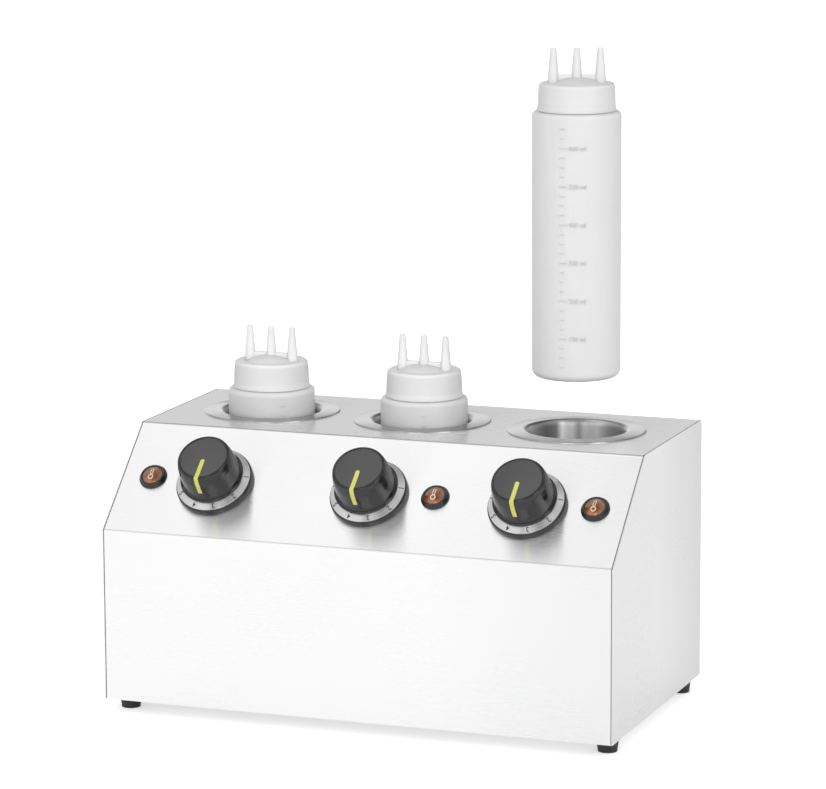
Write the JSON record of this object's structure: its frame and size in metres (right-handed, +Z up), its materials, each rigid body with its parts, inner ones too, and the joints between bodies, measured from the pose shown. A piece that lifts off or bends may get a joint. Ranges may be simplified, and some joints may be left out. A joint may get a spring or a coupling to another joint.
{
  "type": "sauce bottle warmer",
  "caption": "Countertop stainless warmer with flanged dry wells for squeeze bottles of hot topping, sloping front with dial thermostats and pilot lamps, rubber feet.",
  "frame": {"origin": "middle of the housing footprint, on the plane of the feet", "axes": "+X to the right seen from the front, +Y to the back, +Z up; the front faces -Y"},
  "size_m": [0.422, 0.2494, 0.5236],
  "materials": {
    "housing_steel": "stainless steel, brushed along the width",
    "zinc_steel": "zinc-plated steel",
    "black_rubber": "matt black rubber",
    "well_steel": "stainless steel, spun, with circular brushing",
    "heater_steel": "mica band heater in a steel sheath, heat-tinted",
    "fibre": "pressed mineral fibre",
    "copper": "drawn copper",
    "black_plastic": "charcoal black thermoset, satin",
    "dial_aluminium": "brushed foil with black numbers",
    "lime_plastic": "lime yellow, satin",
    "amber_plastic": "amber, translucent, glossy",
    "ceramic": "glazed ceramic",
    "brass": "plain brass",
    "milk_plastic": "translucent milky polyethylene, soft sheen"
  },
  "bodies": {
    "housing": {"shell_wrap": "housing_steel", "side_panel_left": "housing_steel", "side_panel_right": "housing_steel", "back_panel": "housing_steel", "base_plate": "housing_steel", "back_screws": "zinc_steel", "feet": "black_rubber", "foot_screws": "zinc_steel", "foot_nuts": "zinc_steel", "well_tray": "zinc_steel", "tray_screws": "zinc_steel", "well_1": "well_steel", "well_2": "well_steel", "well_3": "well_steel", "well_lock_rings": "zinc_steel", "band_heaters": "heater_steel", "heater_clamp_screws": "zinc_steel", "heater_clamp_nuts": "zinc_steel", "insulation_sleeves": "fibre", "thermal_cutouts": "zinc_steel", "cutout_rivets": "zinc_steel", "capillary_sensors": "copper", "thermostat_1": "zinc_steel", "thermostat_2": "zinc_steel", "thermostat_3": "zinc_steel", "thermostat_screws": "zinc_steel", "dial_base_1": "black_plastic", "dial_base_2": "black_plastic", "dial_base_3": "black_plastic", "dial_ring_1": "dial_aluminium", "dial_ring_2": "dial_aluminium", "dial_ring_3": "dial_aluminium", "lamp_body_1": "black_plastic", "lamp_body_2": "black_plastic", "lamp_body_3": "black_plastic", "lamp_lens_1": "amber_plastic", "lamp_lens_2": "amber_plastic", "lamp_lens_3": "amber_plastic", "lamp_nuts": "black_plastic", "terminal_block": "ceramic", "terminal_screws": "zinc_steel", "earth_stud": "brass", "cable_gland": "black_plastic", "gland_nut": "black_plastic"},
    "control_knob_1": {"knob_1": "black_plastic", "pointer_1": "lime_plastic", "spindle_1": "zinc_steel"},
    "squeeze_bottle_1": {"bottle_1": "milk_plastic"},
    "screw_cap_1": {"bottle_cap_1": "milk_plastic"},
    "control_knob_2": {"knob_2": "black_plastic", "pointer_2": "lime_plastic", "spindle_2": "zinc_steel"},
    "squeeze_bottle_2": {"bottle_2": "milk_plastic"},
    "screw_cap_2": {"bottle_cap_2": "milk_plastic"},
    "control_knob_3": {"knob_3": "black_plastic", "pointer_3": "lime_plastic", "spindle_3": "zinc_steel"},
    "squeeze_bottle_3": {"bottle_3": "milk_plastic"},
    "screw_cap_3": {"bottle_cap_3": "milk_plastic"}
  },
  "joints": [
    {"name": "knob_turn_1", "type": "hinge", "parent": "housing", "child": "control_knob_1", "pos_m": [-0.13, -0.07708, 0.18304], "axis": [0, -0.6738, 0.7389], "range_deg": [-96, 180]},
    {"name": "bottle_lift_1", "type": "slide", "parent": "housing", "child": "squeeze_bottle_1", "axis": [0, 0, 1], "range_m": [0, 0.25]},
    {"name": "cap_lift_1", "type": "slide", "parent": "squeeze_bottle_1", "child": "screw_cap_1", "axis": [0, 0, 1], "range_m": [0, 0.06]},
    {"name": "knob_turn_2", "type": "hinge", "parent": "housing", "child": "control_knob_2", "pos_m": [0, -0.07708, 0.18304], "axis": [0, -0.6738, 0.7389], "range_deg": [-96, 180]},
    {"name": "bottle_lift_2", "type": "slide", "parent": "housing", "child": "squeeze_bottle_2", "axis": [0, 0, 1], "range_m": [0, 0.25]},
    {"name": "cap_lift_2", "type": "slide", "parent": "squeeze_bottle_2", "child": "screw_cap_2", "axis": [0, 0, 1], "range_m": [0, 0.06]},
    {"name": "knob_turn_3", "type": "hinge", "parent": "housing", "child": "control_knob_3", "pos_m": [0.13, -0.07708, 0.18304], "axis": [0, -0.6738, 0.7389], "range_deg": [-96, 180]},
    {"name": "bottle_lift_3", "type": "slide", "parent": "housing", "child": "squeeze_bottle_3", "axis": [0, 0, 1], "range_m": [-0.234, 0.016]},
    {"name": "cap_lift_3", "type": "slide", "parent": "squeeze_bottle_3", "child": "screw_cap_3", "axis": [0, 0, 1], "range_m": [0, 0.06]}
  ]
}
